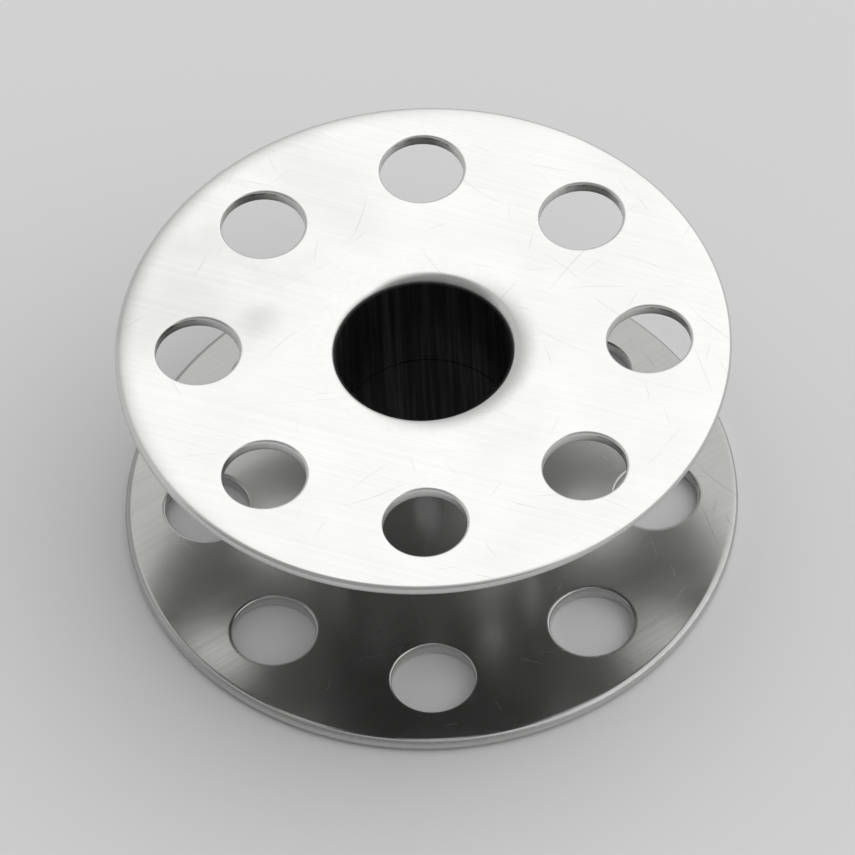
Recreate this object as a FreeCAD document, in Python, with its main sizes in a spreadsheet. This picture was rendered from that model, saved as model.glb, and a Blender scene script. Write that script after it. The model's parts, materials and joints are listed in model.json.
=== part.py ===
import FreeCAD, Part
import Sketcher
import math
import os

# Sewing machine bobbin, in millimetres, +Z up along the bore.
# Two pressed steel flanges face each other. Each is a flat disc with a ring of pierced holes and a neck
# drawn inward from its middle, whose bend is the smooth trumpet mouth of the bore. A tube pressed over
# both necks holds the flanges apart, and the thread is wound on it.
# The origin is the middle of the lower flange's outer face, on which the bobbin stands.

# Driving sizes: name, value and what it is
sizes = [
    ("flange_diameter", 20.5, "outside diameter of both flanges"),
    ("bobbin_height", 8.9, "between the outer faces of the two flanges"),
    ("sheet_thickness", 0.5, "sheet that the flanges are blanked from"),
    ("rim_rounding", 0.2, "rounding of the blanked rim, on both sides"),
    ("bore_diameter", 5.8, "clear bore for the spindle, inside the necks"),
    ("neck_wall", 0.35, "wall of the drawn neck, thinner than the sheet"),
    ("bend_radius", 0.1, "inner radius where the disc bends into its neck"),
    ("mouth_width", 1.1, "from the bore to where its mouth leaves the flat outer face"),
    ("mouth_flare", 3.2, "radius of the gentle outer part of the mouth"),
    ("neck_gap", 0.05, "between the ends of the two necks, half way up"),
    ("neck_end_chamfer", 0.1, "lead-in around the end of each neck"),
    ("hole_count", 8, "pierced holes in each flange"),
    ("hole_diameter", 2.8, "diameter of a pierced hole"),
    ("hole_circle", 15.0, "diameter of the circle through the hole centres"),
    ("hole_rounding", 0.1, "rounding of each hole's edge, on both sides"),
    ("sleeve_clearance", 0.02, "radial clearance between a neck and the hub tube"),
    ("seat_width", 0.4, "flat ring at each end of the hub tube, outside its chamfer"),
]

doc = FreeCAD.newDocument("Bobbin")

sheet = doc.addObject("Spreadsheet::Sheet", "Sizes")
for row, (name, value, note) in enumerate(sizes, start=1):
    sheet.set("A%d" % row, name)
    sheet.set("B%d" % row, str(value))
    sheet.set("C%d" % row, note)
    sheet.setAlias("B%d" % row, name)
doc.recompute()

# Sizes that follow from the driving ones, as expressions that more than one feature uses
bore_radius = "Sizes.bore_diameter / 2"
neck_radius = "(Sizes.bore_diameter / 2 + Sizes.neck_wall)"
lip_radius = "(Sizes.bend_radius + Sizes.neck_wall)"
mouth_edge_radius = "(Sizes.bore_diameter / 2 + Sizes.mouth_width)"
neck_length = "(Sizes.bobbin_height - Sizes.neck_gap) / 2"
sleeve_bore_radius = "(Sizes.bore_diameter / 2 + Sizes.neck_wall + Sizes.sleeve_clearance)"

# A rounded or chamfered edge takes at most this share of its wall
wall_share = 0.45

# Places on a piece of sketch geometry, as the sketcher numbers them
start, end, centre = 1, 2, 3
root_point = (-1, 1)
horizontal_axis = -1


def worked_out(expression):
    """Value of an expression over the sheet."""
    return float(sheet.evalExpression(expression))


def within_wall(size, wall):
    return "min(Sizes.%s; %g * Sizes.%s)" % (size, wall_share, wall)


def origin_feature(body, role):
    return next(feature for feature in body.Origin.OriginFeatures if feature.Role == role)


def add_sketch(body, name, plane):
    sketch = body.newObject("Sketcher::SketchObject", name)
    sketch.AttachmentSupport = (origin_feature(body, plane), [""])
    sketch.MapMode = "FlatFace"
    return sketch


def add_dimension(sketch, name, kind, references, expression):
    """Adds a named dimension to a sketch and ties it to the sheet."""
    index = sketch.addConstraint(Sketcher.Constraint(kind, *references, worked_out(expression)))
    sketch.renameConstraint(index, name)
    sketch.setExpression("Constraints." + name, expression)


def circle_edges(shape, radius, off_axis=0.0, height=None):
    """Names of the level circular edges of that radius, so far from the axis and at that height."""
    names = []
    for number, edge in enumerate(shape.Edges, start=1):
        curve = edge.Curve
        if not isinstance(curve, Part.Circle) or abs(curve.Axis.z) < 0.999:
            continue
        found = [curve.Radius - radius, math.hypot(curve.Center.x, curve.Center.y) - off_axis]
        if height is not None:
            found.append(curve.Center.z - height)
        if all(abs(difference) < 1e-4 for difference in found):
            names.append("Edge%d" % number)
    return names


def flange_section(body):
    """Half section of a flange: radius to the right, height above its outer face upwards."""
    rim = worked_out("Sizes.flange_diameter / 2")
    thickness = worked_out("Sizes.sheet_thickness")
    bore = worked_out(bore_radius)
    neck = worked_out(neck_radius)
    bend = worked_out("Sizes.bend_radius")
    lip = worked_out(lip_radius)
    mouth_edge = worked_out(mouth_edge_radius)
    flare = worked_out("Sizes.mouth_flare")
    neck_end = worked_out(neck_length)

    # The mouth is two arcs that meet at one slope: a gentle flare off the outer face, then the lip
    slope = math.asin((mouth_edge - bore - lip) / (flare - lip))
    lip_height = flare - (flare - lip) * math.cos(slope)

    def line(x1, y1, x2, y2):
        return Part.LineSegment(FreeCAD.Vector(x1, y1, 0), FreeCAD.Vector(x2, y2, 0))

    def arc(x, y, radius, first_angle=math.pi, last_angle=1.5 * math.pi):
        # Left to itself, from the left of its centre round to below it
        circle = Part.Circle(FreeCAD.Vector(x, y, 0), FreeCAD.Vector(0, 0, 1), radius)
        return Part.ArcOfCircle(circle, first_angle, last_angle)

    sketch = add_sketch(body, "Section", "XZ_Plane")
    outer_face = sketch.addGeometry(line(mouth_edge, 0, rim, 0))
    rim_edge = sketch.addGeometry(line(rim, 0, rim, thickness))
    inner_face = sketch.addGeometry(line(rim, thickness, neck + bend, thickness))
    neck_bend = sketch.addGeometry(arc(neck + bend, thickness + bend, bend))
    neck_side = sketch.addGeometry(line(neck, thickness + bend, neck, neck_end))
    neck_top = sketch.addGeometry(line(neck, neck_end, bore, neck_end))
    bore_side = sketch.addGeometry(line(bore, neck_end, bore, lip_height))
    mouth_lip = sketch.addGeometry(arc(bore + lip, lip_height, lip, last_angle=1.5 * math.pi - slope))
    mouth_flare = sketch.addGeometry(arc(mouth_edge, flare, flare, first_angle=1.5 * math.pi - slope))

    for level in (outer_face, inner_face, neck_top):
        sketch.addConstraint(Sketcher.Constraint("Horizontal", level))
    for upright in (rim_edge, neck_side, bore_side):
        sketch.addConstraint(Sketcher.Constraint("Vertical", upright))
    corners = [(outer_face, rim_edge), (rim_edge, inner_face), (neck_side, neck_top), (neck_top, bore_side)]
    for first, second in corners:
        sketch.addConstraint(Sketcher.Constraint("Coincident", first, end, second, start))
    sketch.addConstraint(Sketcher.Constraint("Tangent", inner_face, end, neck_bend, end))
    sketch.addConstraint(Sketcher.Constraint("Tangent", neck_bend, start, neck_side, start))
    sketch.addConstraint(Sketcher.Constraint("Tangent", bore_side, end, mouth_lip, start))
    sketch.addConstraint(Sketcher.Constraint("Tangent", mouth_lip, end, mouth_flare, start))
    sketch.addConstraint(Sketcher.Constraint("Tangent", mouth_flare, end, outer_face, start))
    sketch.addConstraint(Sketcher.Constraint("PointOnObject", outer_face, start, horizontal_axis))

    rim_radius = "Sizes.flange_diameter / 2"
    add_dimension(sketch, "rim_radius", "DistanceX", (*root_point, rim_edge, start), rim_radius)
    add_dimension(sketch, "thickness", "DistanceY", (*root_point, inner_face, start), "Sizes.sheet_thickness")
    add_dimension(sketch, "bore_radius", "DistanceX", (*root_point, bore_side, start), bore_radius)
    add_dimension(sketch, "neck_radius", "DistanceX", (*root_point, neck_side, end), neck_radius)
    add_dimension(sketch, "neck_length", "DistanceY", (*root_point, neck_side, end), neck_length)
    add_dimension(sketch, "bend_radius", "Radius", (neck_bend,), "Sizes.bend_radius")
    add_dimension(sketch, "lip_radius", "Radius", (mouth_lip,), lip_radius)
    add_dimension(sketch, "flare_radius", "Radius", (mouth_flare,), "Sizes.mouth_flare")
    add_dimension(sketch, "mouth_edge", "DistanceX", (*root_point, outer_face, start), mouth_edge_radius)
    return sketch


def make_flange(name):
    """A pressed flange in its own frame, outer face down on the origin and neck upwards."""
    body = doc.addObject("PartDesign::Body", name)
    body.Label = name

    section = flange_section(body)
    pressing = body.newObject("PartDesign::Revolution", "Pressing")
    pressing.Profile = section
    pressing.ReferenceAxis = (section, ["V_Axis"])
    pressing.Angle = 360
    doc.recompute()

    rim = body.newObject("PartDesign::Fillet", "RimRounding")
    rim.Base = (pressing, circle_edges(pressing.Shape, worked_out("Sizes.flange_diameter / 2")))
    rim.setExpression("Radius", within_wall("rim_rounding", "sheet_thickness"))
    doc.recompute()

    neck_end = circle_edges(rim.Shape, worked_out(neck_radius), height=worked_out(neck_length))
    lead_in = body.newObject("PartDesign::Chamfer", "NeckLeadIn")
    lead_in.Base = (rim, neck_end)
    lead_in.setExpression("Size", within_wall("neck_end_chamfer", "neck_wall"))
    doc.recompute()

    hole_sketch = add_sketch(body, "FirstHole", "XY_Plane")
    middle = FreeCAD.Vector(worked_out("Sizes.hole_circle / 2"), 0, 0)
    round_hole = Part.Circle(middle, FreeCAD.Vector(0, 0, 1), worked_out("Sizes.hole_diameter / 2"))
    circle = hole_sketch.addGeometry(round_hole)
    hole_sketch.addConstraint(Sketcher.Constraint("PointOnObject", circle, centre, horizontal_axis))
    ring_radius = "Sizes.hole_circle / 2"
    add_dimension(hole_sketch, "off_axis", "DistanceX", (*root_point, circle, centre), ring_radius)
    add_dimension(hole_sketch, "diameter", "Diameter", (circle,), "Sizes.hole_diameter")

    # The disc lies above the sketch plane, so the hole is pierced upwards
    pierced = body.newObject("PartDesign::Pocket", "PiercedHole")
    pierced.Profile = hole_sketch
    pierced.Reversed = True
    pierced.setExpression("Length", "Sizes.sheet_thickness")
    doc.recompute()
    if pierced.Shape.Volume >= lead_in.Shape.Volume:
        raise RuntimeError(name + ": the pierced hole takes nothing away")

    ring = body.newObject("PartDesign::PolarPattern", "HoleRing")
    ring.Originals = [pierced]
    ring.Axis = (origin_feature(body, "Z_Axis"), [""])
    ring.Angle = 360
    ring.setExpression("Occurrences", "Sizes.hole_count")
    body.Tip = ring
    doc.recompute()

    hole_radius = worked_out("Sizes.hole_diameter / 2")
    hole_edges = circle_edges(ring.Shape, hole_radius, off_axis=worked_out("Sizes.hole_circle / 2"))
    rounding = body.newObject("PartDesign::Fillet", "HoleRounding")
    rounding.Base = (ring, hole_edges)
    rounding.setExpression("Radius", within_wall("hole_rounding", "sheet_thickness"))
    body.Tip = rounding
    doc.recompute()
    return body


def make_sleeve(name):
    """The hub tube, standing on its own origin: it bears on both discs and clears the bends."""
    body = doc.addObject("PartDesign::Body", name)
    body.Label = name

    outer_radius = sleeve_bore_radius + " + Sizes.bend_radius + Sizes.seat_width"
    ends = add_sketch(body, "TubeEnd", "XY_Plane")
    for wall_name, radius in (("bore_radius", sleeve_bore_radius), ("outer_radius", outer_radius)):
        ring = Part.Circle(FreeCAD.Vector(0, 0, 0), FreeCAD.Vector(0, 0, 1), worked_out(radius))
        circle = ends.addGeometry(ring)
        ends.addConstraint(Sketcher.Constraint("Coincident", circle, centre, *root_point))
        add_dimension(ends, wall_name, "Radius", (circle,), radius)

    tube = body.newObject("PartDesign::Pad", "Tube")
    tube.Profile = ends
    tube.setExpression("Length", "Sizes.bobbin_height - 2 * Sizes.sheet_thickness")
    doc.recompute()

    bend_relief = body.newObject("PartDesign::Chamfer", "BendRelief")
    bend_relief.Base = (tube, circle_edges(tube.Shape, worked_out(sleeve_bore_radius)))
    bend_relief.setExpression("Size", "Sizes.bend_radius")
    body.Tip = bend_relief
    return body


# The flanges are one pressing used twice: the upper one is turned over, so its neck points down
lower_flange = make_flange("lower_flange")
upper_flange = make_flange("upper_flange")
turned_over = FreeCAD.Rotation(FreeCAD.Vector(1, 0, 0), 180)
upper_flange.Placement = FreeCAD.Placement(FreeCAD.Vector(0, 0, 0), turned_over)
upper_flange.setExpression("Placement.Base.z", "Sizes.bobbin_height")

hub_sleeve = make_sleeve("hub_sleeve")
hub_sleeve.setExpression("Placement.Base.z", "Sizes.sheet_thickness")
doc.recompute()

for thing in doc.Objects:
    if "Invalid" in thing.State or "Error" in thing.State:
        raise RuntimeError(thing.Label + " did not rebuild: " + ", ".join(thing.State))

os.makedirs("parts", exist_ok=True)
for body in (lower_flange, upper_flange, hub_sleeve):
    if body.Shape.isNull() or not body.Shape.isValid() or len(body.Shape.Solids) != 1:
        raise RuntimeError(body.Label + " is not one sound solid")
    body.Shape.exportStep("parts/%s.step" % body.Label)
    box = body.Shape.BoundBox
    print("%s: %.3f mm3, z %.3f to %.3f" % (body.Label, body.Shape.Volume, box.ZMin, box.ZMax))
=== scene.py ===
import json
import math
import bmesh
import bpy
from mathutils import Matrix, Quaternion, Vector


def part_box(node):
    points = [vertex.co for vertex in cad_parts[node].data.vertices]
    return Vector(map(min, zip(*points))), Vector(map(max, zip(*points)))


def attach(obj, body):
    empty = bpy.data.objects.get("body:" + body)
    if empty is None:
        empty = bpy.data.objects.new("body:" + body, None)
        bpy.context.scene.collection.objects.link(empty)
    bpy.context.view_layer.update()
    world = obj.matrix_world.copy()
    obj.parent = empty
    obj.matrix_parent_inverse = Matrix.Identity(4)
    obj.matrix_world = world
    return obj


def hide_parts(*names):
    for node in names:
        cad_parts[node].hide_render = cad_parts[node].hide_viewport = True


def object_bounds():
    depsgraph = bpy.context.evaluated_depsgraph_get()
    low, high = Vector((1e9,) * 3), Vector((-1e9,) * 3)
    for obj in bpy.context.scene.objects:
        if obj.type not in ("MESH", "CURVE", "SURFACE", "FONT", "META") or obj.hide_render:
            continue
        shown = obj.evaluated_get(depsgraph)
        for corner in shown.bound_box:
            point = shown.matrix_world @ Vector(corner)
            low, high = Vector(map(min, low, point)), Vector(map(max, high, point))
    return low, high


# A sewing machine bobbin: two pressed flanges with drawn necks, and a hub tube over the necks

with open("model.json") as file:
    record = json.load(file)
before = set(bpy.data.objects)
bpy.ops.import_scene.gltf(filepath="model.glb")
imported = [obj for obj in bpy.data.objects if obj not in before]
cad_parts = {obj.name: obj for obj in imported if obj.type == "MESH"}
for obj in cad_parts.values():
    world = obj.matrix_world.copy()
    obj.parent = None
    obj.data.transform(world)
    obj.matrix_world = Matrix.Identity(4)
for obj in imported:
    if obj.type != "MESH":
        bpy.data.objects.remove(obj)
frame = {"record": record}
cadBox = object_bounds()

# Pieces are drawn in millimetres and scaled to metres when they are finished
mm = 0.001
tiny = 1e-4  # points nearer to each other than this, in millimetres, are one point

# Sizes that the frame knows, in millimetres
rimRadius = cadBox[1].x / mm
bobbinHeight = cadBox[1].z / mm
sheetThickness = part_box("hub_sleeve")[0].z / mm
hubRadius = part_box("hub_sleeve")[1].x / mm
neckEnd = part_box("lower_flange")[1].z / mm
spindleBore = next(mount for mount in frame["record"]["mounts"] if mount["name"] == "spindle_bore")
boreRadius = spindleBore["dims"]["r_mm"]


# Mesh helpers

def drawSection(bm, start, moves):
    # Draws on the XZ plane: two numbers are a straight line to that radius and height, and four
    # are an arc, as the radius and height of its centre, its quarter turns and its steps
    known = set(bm.verts)
    tip = bm.verts.new((start[0], 0, start[1]))
    for move in moves:
        if len(move) == 2:
            made = bmesh.ops.extrude_vert_indiv(bm, verts=[tip])
            tip = made["verts"][0]
            tip.co = (move[0], 0, move[1])
        else:
            centreX, centreZ, quarters, steps = move
            made = bmesh.ops.spin(bm, geom=[tip], cent=(centreX, 0, centreZ), axis=(0, 1, 0),
                                  angle=quarters * math.pi / 2, steps=steps)
            tip = [v for v in made["geom_last"] if isinstance(v, bmesh.types.BMVert)][0]
    verts = [v for v in bm.verts if v not in known]
    return verts + list({e for v in verts for e in v.link_edges})


def spinRound(bm, section, steps, centre=(0, 0, 0)):
    bmesh.ops.spin(bm, geom=section, cent=centre, axis=(0, 0, 1), angle=2 * math.pi, steps=steps,
                   use_merge=True)


def fillFlat(bm, height):
    # Lays the flat sheet between the open loops at one height
    loops = [e for e in bm.edges if e.is_boundary and all(abs(v.co.z - height) < tiny for v in e.verts)]
    made = bmesh.ops.triangle_fill(bm, use_beauty=True, edges=loops)
    sheet = [f for f in made["geom"] if isinstance(f, bmesh.types.BMFace)]
    bmesh.ops.join_triangles(bm, faces=sheet, angle_face_threshold=0.1, angle_shape_threshold=math.pi)


def finishPiece(bm, name, material):
    bmesh.ops.remove_doubles(bm, verts=bm.verts, dist=tiny)
    bmesh.ops.recalc_face_normals(bm, faces=bm.faces)
    bmesh.ops.scale(bm, vec=(mm, mm, mm), verts=bm.verts)
    mesh = bpy.data.meshes.new(name)
    bm.to_mesh(mesh)
    bm.free()
    mesh.shade_smooth()
    mesh.set_sharp_from_angle(angle=math.radians(30))
    mesh.materials.append(material)
    piece = bpy.data.objects.new(name, mesh)
    bpy.context.scene.collection.objects.link(piece)
    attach(piece, "root")
    print(name, "has", len(mesh.polygons), "faces")
    return piece


# Material helpers

def colour(hexCode):
    # From an sRGB hex value to linear light
    parts = [int(hexCode[i:i + 2], 16) / 255 for i in (1, 3, 5)]
    return [p / 12.92 if p <= 0.04045 else ((p + 0.055) / 1.055) ** 2.4 for p in parts] + [1]


def addNode(tree, kind, settings={}, links={}):
    # A socket is given by its number or its name, and any other name is the node's own setting.
    # A link comes from an output, or from a node whose first output is meant. A Mix node takes
    # numbers at 2 and 3, and colours at 6 and 7, and gives the mixed colour at its output 2
    node = tree.nodes.new("ShaderNode" + kind)
    for name, value in settings.items():
        if isinstance(name, int) or name in node.inputs:
            node.inputs[name].default_value = value
        else:
            setattr(node, name, value)
    for name, source in links.items():
        if isinstance(source, bpy.types.Node):
            source = source.outputs[0]
        tree.links.new(source, node.inputs[name])
    return node


# Bright nickel plate on pressed steel, plated and tumbled in a barrel: it mirrors softly, with the
# straight marks of the rolled sheet, hairlines from the tumbling, small dings and a faint cloudiness.
# Lengths are in millimetres, and the finest marks are drawn as coarse as they need to show.
# Levels are the noise values where a pattern starts and where it is full
plateLook = {
    "face": "#dddddc",
    "inside": "#a2a2a1",        # painted shade: darker between the flanges
    "insideDepth": 0.3,         # where that starts, below the outer face
    "bore": "#454544",          # painted shade darkens the bore, which is also dull
    # lighter streaks along the draw marks down the bore, painted as reflections
    "boreStreak": "#747473",
    "boreDepths": (0.17, 0.5),  # where the painted shade starts in the mouth, and where it is full
    "boreReach": 0.4,           # how far out from the bore that shows
    "faceRoughness": 0.135,
    "insideRoughness": 0.175,
    "boreRoughness": 0.395,
    "cloudSize": 2.6,
    "cloudLevels": (0.65, 0.35),
    "cloudShade": 0.03,
    "cloudRoughness": 0.05,
    "rollWidth": 0.09,          # across one rolling mark
    "rollLength": 9.0,
    "rollLevels": (0.7, 0.3),
    "rollDepth": 0.0001,
    "rollShade": 0.035,
    "rollRoughness": 0.03,
    "drawWidth": 0.18,          # across one draw mark down a neck or the tube
    "streakLevels": (0.45, 0.75),
    "hairlines": ((1.3, 0.05, 0.5),  # spacing, width and half length of each kind
                  (2.9, 0.055, 1.2),
                  (6.5, 0.065, 2.8)),
    "hairlineBend": 0.12,       # how far one bows, at most, at 1 mm from its middle
    "hairlineFade": 0.3,        # the share of its half length where it starts to fade
    "hairlineGaps": 0.3,        # the share of cells that hold none
    "hairlineDepth": 0.0005,
    "hairlineShade": 0.15,
    "hairlineRoughness": 0.14,
    "tornDepth": 0.3,           # middle of the torn band of a cut edge, below the outer face
    "tornWidth": 0.26,
    "tornRagged": 0.1,
    "tornShade": 0.1,
    "tornRoughness": 0.2,
    "stainFray": 0.8,           # how ragged the edge of a painted reflection is, as a share of its radius
    "stainFade": (0.4, 1.4),    # where it starts to fade and where it is gone, as such shares
    "dingSize": 0.45,
    "dingDepth": 0.0008,
    "swellSize": 7.0,           # across a slow swell of the pressed sheet
    "swellHeight": 0.006,
}


def scatterHairlines(tree, place):
    # Each cell of a random grid holds one hairline, turned and bowed its own way, and some hold none
    look = plateLook
    bend = look["hairlineBend"]
    hairlines = None
    for spacing, width, reach in look["hairlines"]:
        cells = addNode(tree, "TexVoronoi", {"voronoi_dimensions": "2D", "Scale": 1 / spacing}, {0: place})
        chance = addNode(tree, "SeparateColor", {}, {0: cells.outputs["Color"]})
        away = addNode(tree, "VectorMath", {"operation": "SUBTRACT"},
                       {0: place, 1: cells.outputs["Position"]})
        turn = addNode(tree, "Math", {"operation": "MULTIPLY", 1: 2 * math.pi}, {0: chance.outputs[0]})
        turned = addNode(tree, "VectorRotate", {"rotation_type": "Z_AXIS"}, {"Vector": away, "Angle": turn})
        spot = addNode(tree, "SeparateXYZ", {}, {0: turned})
        x, y = spot.outputs["X"], spot.outputs["Y"]
        bow = addNode(tree, "MapRange", {"To Min": -bend, "To Max": bend}, {"Value": chance.outputs[1]})
        square = addNode(tree, "Math", {"operation": "MULTIPLY"}, {0: x, 1: x})
        beside = addNode(tree, "Math", {"operation": "MULTIPLY_ADD"}, {0: square, 1: bow, 2: y})
        across = addNode(tree, "Math", {"operation": "ABSOLUTE"}, {0: beside})
        line = addNode(tree, "MapRange", {"From Max": width / 2, "To Min": 1, "To Max": 0},
                       {"Value": across})
        along = addNode(tree, "Math", {"operation": "ABSOLUTE"}, {0: x})
        ends = addNode(tree, "MapRange", {"From Min": reach * look["hairlineFade"], "From Max": reach,
                       "To Min": 1, "To Max": 0}, {"Value": along})
        strength = addNode(tree, "MapRange", {"From Min": look["hairlineGaps"]},
                           {"Value": chance.outputs[2]})
        for factor in (ends, strength):
            line = addNode(tree, "Math", {"operation": "MULTIPLY"}, {0: line, 1: factor})
        if hairlines:
            line = addNode(tree, "Math", {"operation": "MAXIMUM"}, {0: hairlines, 1: line})
        hairlines = line
    return hairlines


def nickelPlate(name, rollAngle, paintedReflections=()):
    look = plateLook
    half = bobbinHeight / 2
    material = bpy.data.materials.new(name)
    material.use_nodes = True
    tree = material.node_tree
    tree.nodes.clear()

    # Places are in millimetres from the middle of the bobbin
    own = addNode(tree, "TexCoord").outputs["Object"]
    place = addNode(tree, "Mapping", {"Scale": (1 / mm, 1 / mm, 1 / mm), "Location": (0, 0, -half)},
                    {0: own})
    parts = addNode(tree, "SeparateXYZ", {}, {0: place})
    fromMiddle = addNode(tree, "Math", {"operation": "ABSOLUTE"}, {0: parts.outputs["Z"]})
    flat = addNode(tree, "VectorMath", {"operation": "MULTIPLY", 1: (1, 1, 0)}, {0: place})
    radius = addNode(tree, "VectorMath", {"operation": "LENGTH"}, {0: flat}).outputs["Value"]

    # Where a point lies: between the flanges, down the bore, and on the upright tube or a neck
    start, end = look["insideDepth"], sheetThickness
    inside = addNode(tree, "MapRange", {"From Min": half - start, "From Max": half - end},
                     {"Value": fromMiddle})
    start, end = look["boreDepths"]
    deep = addNode(tree, "MapRange", {"From Min": half - start, "From Max": half - end},
                   {"Value": fromMiddle})
    reach = boreRadius + look["boreReach"]
    nearAxis = addNode(tree, "Math", {"operation": "LESS_THAN", 1: reach}, {0: radius})
    bore = addNode(tree, "Math", {"operation": "MULTIPLY"}, {0: nearAxis, 1: deep})
    reach = hubRadius + flangeShape["flatEdge"]
    upright = addNode(tree, "Math", {"operation": "LESS_THAN", 1: reach}, {0: radius})

    # Cloudiness, and the rolling marks one way across the sheet, which on the necks and the tube are
    # draw marks along them
    start, end = look["cloudLevels"]
    clouds = addNode(tree, "TexNoise", {"Scale": 1 / look["cloudSize"], "Detail": 4}, {0: place})
    cloudy = addNode(tree, "MapRange", {"From Min": start, "From Max": end}, {"Value": clouds})
    long, wide = look["rollLength"], look["rollWidth"]
    rolled = addNode(tree, "Mapping", {"vector_type": "TEXTURE", "Scale": (long, wide, long),
                     "Rotation": (0, 0, math.radians(rollAngle))}, {0: place})
    rollMarks = addNode(tree, "TexNoise", {"Scale": 1, "Detail": 2}, {0: rolled})
    wide = look["drawWidth"]
    drawn = addNode(tree, "Mapping", {"vector_type": "TEXTURE", "Scale": (wide, wide, long)}, {0: place})
    drawMarks = addNode(tree, "TexNoise", {"Scale": 1, "Detail": 2}, {0: drawn})
    marks = addNode(tree, "Mix", {"data_type": "FLOAT"}, {0: upright, 2: rollMarks, 3: drawMarks})
    start, end = look["rollLevels"]
    lined = addNode(tree, "MapRange", {"From Min": start, "From Max": end}, {"Value": marks})
    hairlines = scatterHairlines(tree, place)

    # A cut edge is burnished below the outer face, and further down it has torn and stays rougher.
    # The noise that makes the torn band ragged averages a half
    ragged = addNode(tree, "Math", {"operation": "MULTIPLY_ADD", 1: look["tornRagged"]},
                     {0: drawMarks, 2: fromMiddle})
    bandMiddle = half - look["tornDepth"] + look["tornRagged"] / 2
    torn = addNode(tree, "Math", {"operation": "COMPARE", 1: bandMiddle, 2: look["tornWidth"] / 2},
                   {0: ragged})
    torn = addNode(tree, "Math", {"operation": "SUBTRACT", "use_clamp": True}, {0: torn, 1: upright})

    # The plate's colour and roughness by place, before any pattern
    # Painted shade: the colour darkens between the flanges
    tone = addNode(tree, "Mix", {"data_type": "RGBA", 6: colour(look["face"]), 7: colour(look["inside"])},
                   {0: inside})
    # Painted shade down the bore, with lighter painted reflections along its draw marks
    start, end = look["streakLevels"]
    streaks = addNode(tree, "MapRange", {"From Min": start, "From Max": end}, {"Value": drawMarks})
    paintedBoreShade = addNode(tree, "Mix", {"data_type": "RGBA", 6: colour(look["bore"]),
                   7: colour(look["boreStreak"])}, {0: streaks})
    tone = addNode(tree, "Mix", {"data_type": "RGBA"}, {0: bore, 6: tone.outputs[2], 7: paintedBoreShade.outputs[2]})
    gloss = addNode(tree, "MapRange", {"To Min": look["faceRoughness"], "To Max": look["insideRoughness"]},
                    {"Value": inside})
    gloss = addNode(tree, "Mix", {"data_type": "FLOAT", 3: look["boreRoughness"]}, {0: bore, 2: gloss})

    # Each pattern darkens the plate by its share and adds to its roughness
    layers = [(cloudy, look["cloudShade"], look["cloudRoughness"]),
              (lined, look["rollShade"], look["rollRoughness"]),
              (hairlines, look["hairlineShade"], look["hairlineRoughness"]),
              (torn, look["tornShade"], look["tornRoughness"])]
    # Painted dark reflections: patches where the plate is darker, as if it mirrored something dim
    for x, y, size, darkening in paintedReflections:
        distance = addNode(tree, "VectorMath", {"operation": "DISTANCE", 1: (x, y, 0)}, {0: flat})
        frayed = addNode(tree, "Math", {"operation": "MULTIPLY_ADD", 1: size * look["stainFray"]},
                         {0: clouds, 2: distance.outputs["Value"]})
        start, end = (size * share for share in look["stainFade"])
        paintedReflection = addNode(tree, "MapRange", {"interpolation_type": "SMOOTHSTEP", "From Min": start,
                        "From Max": end, "To Min": 1, "To Max": 0}, {"Value": frayed})
        layers.append((paintedReflection, darkening, 0))
    for pattern, darkening, roughening in layers:
        shade = addNode(tree, "MapRange", {"To Min": 1, "To Max": 1 - darkening}, {"Value": pattern})
        tone = addNode(tree, "Mix", {"data_type": "RGBA", "blend_type": "MULTIPLY", 0: 1},
                       {6: tone.outputs[2], 7: shade})
        gloss = addNode(tree, "Math", {"operation": "MULTIPLY_ADD", 1: roughening}, {0: pattern, 2: gloss})

    swell = addNode(tree, "TexNoise", {"Scale": 1 / look["swellSize"], "Detail": 0}, {0: place})
    dings = addNode(tree, "TexNoise", {"Scale": 1 / look["dingSize"], "Detail": 1}, {0: place})
    height = addNode(tree, "Math", {"operation": "MULTIPLY", 1: look["swellHeight"]}, {0: swell})
    for pattern, rise in ((dings, look["dingDepth"]), (marks, look["rollDepth"]),
                          (hairlines, -look["hairlineDepth"])):
        height = addNode(tree, "Math", {"operation": "MULTIPLY_ADD", 1: rise}, {0: pattern, 2: height})
    relief = addNode(tree, "Bump", {"Strength": 1, "Distance": mm}, {"Height": height})

    surface = addNode(tree, "BsdfPrincipled", {"Metallic": 1},
                      {"Base Color": tone.outputs[2], "Roughness": gloss, "Normal": relief})
    addNode(tree, "OutputMaterial", {}, {"Surface": surface})
    return material


# The pressed flange: sizes in millimetres
flangeShape = {
    "rimRounding": 0.2,
    "dieRollRadius": 3.5,
    "dieRollLean": 10,       # degrees
    "neckWall": 0.35,
    "bendRadius": 0.1,
    "mouthWidth": 1.1,
    "flareRadius": 3.2,
    "neckChamfer": 0.1,
    "holeCount": 8,
    "holeRadius": 1.4,
    "holeCircle": 7.5,
    "holeRounding": 0.1,
    "flatEdge": 0.06,        # a narrow flat ring beside each rounding keeps the rest of the sheet flat
    "rimSteps": 288,         # steps round the axis
    "neckSteps": 192,
    "holeSteps": 64,
    "flareSteps": 8,         # steps along one arc of a section
    "lipSteps": 16,
    "bendSteps": 6,
    "dieRollSteps": 6,
    "rimArcSteps": 10,
    "holeArcSteps": 6,
    "lowerRollAngle": 35,    # which way the sheet was rolled, in degrees from X
    "upperRollAngle": -20,
    "upperStains": [(-5.5, 1.3, 1.1, 0.16),  # painted dark reflections, greying the left of the upper face: the X, Y and radius of each, and how much it darkens
                    (-8.2, 2.6, 5.2, 0.13),
                    (-3.2, 6.5, 3.4, 0.06)],
}


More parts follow.
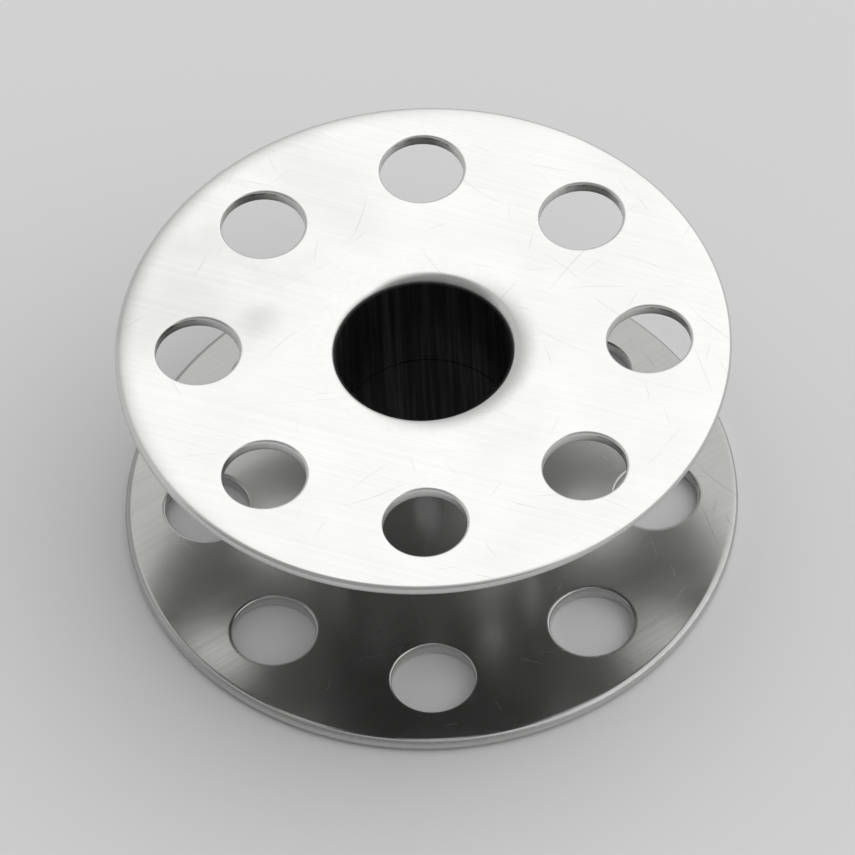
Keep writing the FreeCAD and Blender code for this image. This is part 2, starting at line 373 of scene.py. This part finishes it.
def spinNeck(bm):
    # Its mouth flares gently off the face, then turns over a tighter lip into the bore
    shape = flangeShape
    bend = shape["bendRadius"]
    lip = shape["neckWall"] + bend
    flare = shape["flareRadius"]
    slope = math.asin((shape["mouthWidth"] - lip) / (flare - lip))  # where flare and lip meet
    lipHeight = flare - (flare - lip) * math.cos(slope)
    flareTurn = slope / (math.pi / 2)
    foot = boreRadius + shape["mouthWidth"]
    neckRadius = boreRadius + shape["neckWall"]
    lead = shape["neckChamfer"]
    neck = drawSection(bm, (foot + shape["flatEdge"], 0), [
        (foot, 0),
        (foot, flare, flareTurn, shape["flareSteps"]),
        (boreRadius + lip, lipHeight, 1 - flareTurn, shape["lipSteps"]),
        (boreRadius, neckEnd),
        (neckRadius - lead, neckEnd),
        (neckRadius, neckEnd - lead),
        (neckRadius, sheetThickness + bend),
        (neckRadius + bend, sheetThickness + bend, -1, shape["bendSteps"]),
        (neckRadius + bend + shape["flatEdge"], sheetThickness),
    ])
    spinRound(bm, neck, shape["neckSteps"])


def spinRim(bm):
    # The blanking die draws the outer face down a little before its edge is rounded
    shape = flangeShape
    r = shape["rimRounding"]
    roll = shape["dieRollRadius"]
    lean = math.radians(shape["dieRollLean"])
    rollTurn = lean / (math.pi / 2)
    rollStart = rimRadius - r - (roll - r) * math.sin(lean)
    rim = drawSection(bm, (rollStart - shape["flatEdge"], 0), [
        (rollStart, 0),
        (rollStart, roll, -rollTurn, shape["dieRollSteps"]),
        (rimRadius - r, roll - (roll - r) * math.cos(lean), rollTurn - 1, shape["rimArcSteps"]),
        (rimRadius, sheetThickness - r),
        (rimRadius - r, sheetThickness - r, -1, shape["rimArcSteps"]),
        (rimRadius - r - shape["flatEdge"], sheetThickness),
    ])
    spinRound(bm, rim, shape["rimSteps"])


def pierceHoles(bm):
    # One hole is spun about its own axis, then repeated round the ring
    shape = flangeShape
    r = shape["holeRounding"]
    known = set(bm.verts)
    wallRadius = shape["holeCircle"] + shape["holeRadius"]
    hole = drawSection(bm, (wallRadius + r + shape["flatEdge"], 0), [
        (wallRadius + r, 0),
        (wallRadius + r, r, 1, shape["holeArcSteps"]),
        (wallRadius, sheetThickness - r),
        (wallRadius + r, sheetThickness - r, 1, shape["holeArcSteps"]),
        (wallRadius + r + shape["flatEdge"], sheetThickness),
    ])
    spinRound(bm, hole, shape["holeSteps"], (shape["holeCircle"], 0, 0))
    wall = [f for f in bm.faces if f.verts[0] not in known]
    for number in range(1, shape["holeCount"]):
        copy = bmesh.ops.duplicate(bm, geom=wall)
        moved = [v for v in copy["geom"] if isinstance(v, bmesh.types.BMVert)]
        turn = Matrix.Rotation(2 * math.pi * number / shape["holeCount"], 3, "Z")
        bmesh.ops.rotate(bm, verts=moved, cent=(0, 0, 0), matrix=turn)


def pressFlange(name, turnedOver, rollAngle, paintedReflections=()):
    bm = bmesh.new()
    spinNeck(bm)
    spinRim(bm)
    pierceHoles(bm)
    bmesh.ops.remove_doubles(bm, verts=bm.verts, dist=tiny)
    fillFlat(bm, 0)
    fillFlat(bm, sheetThickness)
    if turnedOver:
        bmesh.ops.rotate(bm, verts=bm.verts, cent=(0, 0, 0), matrix=Matrix.Rotation(math.pi, 3, "X"))
        bmesh.ops.translate(bm, verts=bm.verts, vec=(0, 0, bobbinHeight))
    return finishPiece(bm, name, nickelPlate(name + "Plate", rollAngle, paintedReflections))


lowerFlange = pressFlange("lowerFlange", False, flangeShape["lowerRollAngle"])
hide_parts("lower_flange")
upperFlange = pressFlange("upperFlange", True, flangeShape["upperRollAngle"], flangeShape["upperStains"])
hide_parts("upper_flange")


# The hub tube: sizes in millimetres
tubeShape = {
    "clearance": 0.02,       # to the necks inside it
    "endRounding": 0.06,
    "roundSteps": 192,
    "arcSteps": 4,
}


def cutTube():
    inside = boreRadius + flangeShape["neckWall"] + tubeShape["clearance"]
    relief = flangeShape["bendRadius"]  # its inner edges clear the bends of both necks
    low = sheetThickness
    high = bobbinHeight - sheetThickness
    r = tubeShape["endRounding"]
    bm = bmesh.new()
    wall = drawSection(bm, (inside + relief, low), [
        (hubRadius - r, low),
        (hubRadius - r, low + r, -1, tubeShape["arcSteps"]),
        (hubRadius, high - r),
        (hubRadius - r, high - r, -1, tubeShape["arcSteps"]),
        (inside + relief, high),
        (inside, high - relief),
        (inside, low + relief),
        (inside + relief, low),
    ])
    spinRound(bm, wall, tubeShape["roundSteps"])
    return finishPiece(bm, "hubTube", nickelPlate("hubTubePlate", 0))


hubTube = cutTube()
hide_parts("hub_sleeve")


# Floor, lights and camera: lengths in metres, and radiance 1 is a white that just doesn't clip
studio = {
    "floorColour": "#dadada",
    "floorRoughness": 0.9,
    "floorSpecular": 0.1,
    "floorWidth": 8,
    "lightSide": (110, 50),  # azimuth and elevation where the soft light is brightest
    "lightSpread": (0.4, 0.71),
    "highLight": 1.38,
    "lowLight": 0.66,
    "darkSide": (-20, 22),   # the dim side of the studio, behind the camera
    "darkSpread": (0.35, 0.72),
    "darkShare": 0.55,
    "cameraDistance": 0.917,
    "cameraAzimuth": 2,
    "cameraElevation": 51.6,
    "cameraRoll": -3.1,
    "cameraReach": 20,       # how far it sees
    "viewWidth": 0.0285,
}
middle = Vector((0, 0, bobbinHeight * mm / 2))


def around(azimuth, elevation, distance):
    # Azimuth 0 is towards the camera, and 90 is to its right
    a, e = math.radians(azimuth), math.radians(elevation)
    return middle + distance * Vector((math.sin(a) * math.cos(e), -math.cos(a) * math.cos(e), math.sin(e)))


def layFloor():
    bm = bmesh.new()
    bmesh.ops.create_grid(bm, x_segments=1, y_segments=1, size=studio["floorWidth"] / 2)
    mesh = bpy.data.meshes.new("floor")
    bm.to_mesh(mesh)
    bm.free()
    floor = bpy.data.objects.new("floor", mesh)
    bpy.context.scene.collection.objects.link(floor)
    paper = bpy.data.materials.new("mattPaper")
    paper.use_nodes = True
    surface = paper.node_tree.nodes["Principled BSDF"]
    surface.inputs["Base Color"].default_value = colour(studio["floorColour"])
    surface.inputs["Roughness"].default_value = studio["floorRoughness"]
    surface.inputs["Specular IOR Level"].default_value = studio["floorSpecular"]
    mesh.materials.append(paper)
    print("floor laid")


def lightStudio():
    # The world shines softly from one side and is dimmed on another
    world = bpy.data.worlds.new("studio")
    world.use_nodes = True
    tree = world.node_tree
    tree.nodes.clear()
    direction = addNode(tree, "TexCoord").outputs["Generated"]
    sides = ((studio["lightSide"], studio["lightSpread"], studio["lowLight"], studio["highLight"]),
             (studio["darkSide"], studio["darkSpread"], 1, studio["darkShare"]))
    levels = []
    for side, (start, end), edge, core in sides:
        towards = around(*side, 1) - middle
        facing = addNode(tree, "VectorMath", {"operation": "DOT_PRODUCT", 1: towards}, {0: direction})
        levels.append(addNode(tree, "MapRange", {"interpolation_type": "SMOOTHSTEP", "From Min": start,
                      "From Max": end, "To Min": edge, "To Max": core}, {"Value": facing.outputs["Value"]}))
    level = addNode(tree, "Math", {"operation": "MULTIPLY"}, {0: levels[0], 1: levels[1]})
    light = addNode(tree, "Background", {"Color": (1, 1, 1, 1)}, {"Strength": level})
    addNode(tree, "OutputWorld", {}, {"Surface": light})
    bpy.context.scene.world = world
    print("lights set")


def placeCamera():
    lens = bpy.data.cameras.new("camera")
    lens.lens = lens.sensor_width * studio["cameraDistance"] / studio["viewWidth"]
    lens.clip_end = studio["cameraReach"]
    camera = bpy.data.objects.new("camera", lens)
    camera.location = around(studio["cameraAzimuth"], studio["cameraElevation"], studio["cameraDistance"])
    roll = Quaternion((0, 0, 1), math.radians(studio["cameraRoll"]))
    camera.rotation_euler = ((middle - camera.location).to_track_quat("-Z", "Y") @ roll).to_euler()
    bpy.context.scene.collection.objects.link(camera)
    bpy.context.scene.camera = camera
    print("camera placed")


layFloor()
lightStudio()
placeCamera()
bpy.context.scene.view_settings.view_transform = "Standard"
